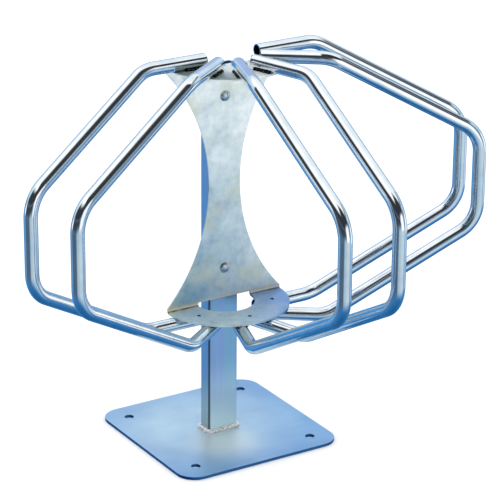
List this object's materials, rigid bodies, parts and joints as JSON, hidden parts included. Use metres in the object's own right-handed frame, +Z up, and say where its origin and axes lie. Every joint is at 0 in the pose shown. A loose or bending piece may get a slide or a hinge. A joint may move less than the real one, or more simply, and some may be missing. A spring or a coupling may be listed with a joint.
{
  "type": "star bike rack",
  "caption": "Free-standing star bike rack: pairs of bent tubes fan out from a waisted bracket on a post with a floor plate and grip the front wheels of parked bicycles.",
  "frame": {"origin": "centre of the floor plate's underside, midway between the four anchor holes", "axes": "+Z up along the post; the front, where the middle wheel goes in, is towards -Y; +X is to the right of someone who stands at the front and looks towards +Y"},
  "size_m": [0.7414, 0.5405, 0.611],
  "materials": {
    "plate_zinc": "bright zinc plating with a pale blue tint, satin",
    "post_zinc": "bright zinc plating with a faint blue tint, satin",
    "bracket_zinc": "zinc-coated sheet, matt and lightly mottled",
    "tube_zinc": "bright zinc plating, glossy",
    "weld_metal": "rippled weld metal under the plating",
    "bolt_zinc": "zinc-plated fastener"
  },
  "bodies": {
    "root": {"base_plate": "plate_zinc", "post": "post_zinc", "foot_weld": "weld_metal", "bracket": "bracket_zinc", "left_hoop_rear": "tube_zinc", "left_hoop_rear_upper_weld": "weld_metal", "left_hoop_rear_lower_weld": "weld_metal", "left_hoop_front": "tube_zinc", "left_hoop_front_upper_weld": "weld_metal", "left_hoop_front_lower_weld": "weld_metal", "front_hoop_left": "tube_zinc", "front_hoop_left_upper_weld": "weld_metal", "front_hoop_left_lower_weld": "weld_metal", "front_hoop_right": "tube_zinc", "front_hoop_right_upper_weld": "weld_metal", "front_hoop_right_lower_weld": "weld_metal", "right_hoop_front": "tube_zinc", "right_hoop_front_upper_weld": "weld_metal", "right_hoop_front_lower_weld": "weld_metal", "right_hoop_rear": "tube_zinc", "right_hoop_rear_upper_weld": "weld_metal", "right_hoop_rear_lower_weld": "weld_metal", "upper_bolt": "bolt_zinc", "upper_washer": "bolt_zinc", "upper_nut": "bolt_zinc", "lower_bolt": "bolt_zinc", "lower_washer": "bolt_zinc", "lower_nut": "bolt_zinc"}
  },
  "joints": []
}
